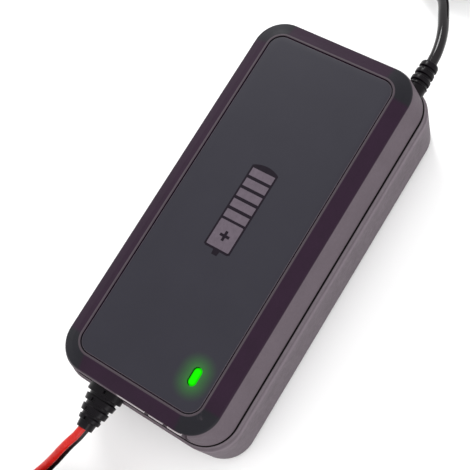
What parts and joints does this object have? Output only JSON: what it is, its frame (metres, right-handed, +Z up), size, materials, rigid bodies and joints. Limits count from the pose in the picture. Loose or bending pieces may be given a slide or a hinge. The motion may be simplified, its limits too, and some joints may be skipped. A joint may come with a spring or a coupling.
{
  "type": "car battery charger",
  "caption": "Flat mains battery charger in a rounded grey brick housing, with a green status light, a coiled mains lead and plug, and red and black leads that end in spring battery clips.",
  "frame": {"origin": "centre of the housing and its two strain reliefs' box, on the surface that the feet stand on", "axes": "+X across the housing towards the status light, +Y along it towards the mains lead, +Z up"},
  "size_m": [0.0986, 0.6198, 0.0525],
  "materials": {
    "cover": "satin dark aubergine ABS with a fine texture",
    "panel": "satin slate overlay with a printed battery symbol",
    "base": "fine-textured warm grey ABS",
    "lens": "clear green light pipe, lit",
    "board": "green solder mask",
    "black_plastic": "moulded black plastic",
    "rubber": "soft black PVC or rubber",
    "red": "soft red PVC",
    "steel": "plated steel",
    "aluminium": "extruded, plain",
    "brass": "nickel-plated brass pins",
    "copper": "enamelled copper winding",
    "ferrite": "dark grey ferrite",
    "yellow_tape": "yellow insulating tape or film case",
    "capacitor": "dark blue sleeve",
    "ceramic": "off-white ceramic"
  },
  "bodies": {
    "charger": {"top_cover": "cover", "base_shell": "base", "panel_plate": "panel", "led_lens": "lens", "led_diode": "lens", "indicator_board": "board", "rubber_foot_1": "rubber", "rubber_foot_2": "rubber", "rubber_foot_3": "rubber", "rubber_foot_4": "rubber", "case_screw_1": "steel", "case_screw_2": "steel", "case_screw_3": "steel", "case_screw_4": "steel", "circuit_board": "board", "transformer_core": "ferrite", "transformer_winding": "yellow_tape", "bulk_capacitor": "capacitor", "output_capacitor_1": "capacitor", "output_capacitor_2": "capacitor", "input_fuse": "ceramic", "input_choke": "copper", "filter_capacitor": "yellow_tape", "bridge_rectifier": "black_plastic", "primary_heatsink": "aluminium", "output_heatsink": "aluminium", "switching_transistor": "black_plastic", "output_rectifier": "black_plastic", "ac_strain_relief": "rubber", "dc_strain_relief": "rubber", "ac_cord_run": "rubber", "ac_cord_tail": "rubber", "ac_cord_coil": "rubber", "ac_coil_tie": "black_plastic", "red_lead_run": "red", "red_lead_tail": "red", "red_lead_coil": "red", "black_lead_run": "rubber", "black_lead_tail": "rubber", "black_lead_coil": "rubber", "dc_coil_tie": "black_plastic", "plug_body": "rubber", "plug_pin_1": "brass", "plug_pin_2": "brass", "red_clip_lower_jaw": "steel", "red_clip_lower_grip": "red", "red_clip_pivot": "steel", "red_clip_spring": "steel", "black_clip_lower_jaw": "steel", "black_clip_lower_grip": "rubber", "black_clip_pivot": "steel", "black_clip_spring": "steel"},
    "red_clip_jaw": {"red_clip_upper_jaw": "steel", "red_clip_upper_grip": "red"},
    "black_clip_jaw": {"black_clip_upper_jaw": "steel", "black_clip_upper_grip": "rubber"}
  },
  "joints": [
    {"name": "red_clip_hinge", "type": "hinge", "parent": "charger", "child": "red_clip_jaw", "pos_m": [0.0224, -0.25975, 0.0084], "axis": [0, 0, 1], "range_deg": [0, 30], "stiffness_Nm_per_rad": 0.2, "springref_deg": -28.65},
    {"name": "black_clip_hinge", "type": "hinge", "parent": "charger", "child": "black_clip_jaw", "pos_m": [-0.017, -0.23925, 0.0084], "axis": [0, 0, 1], "range_deg": [0, 30], "stiffness_Nm_per_rad": 0.2, "springref_deg": -28.65}
  ]
}
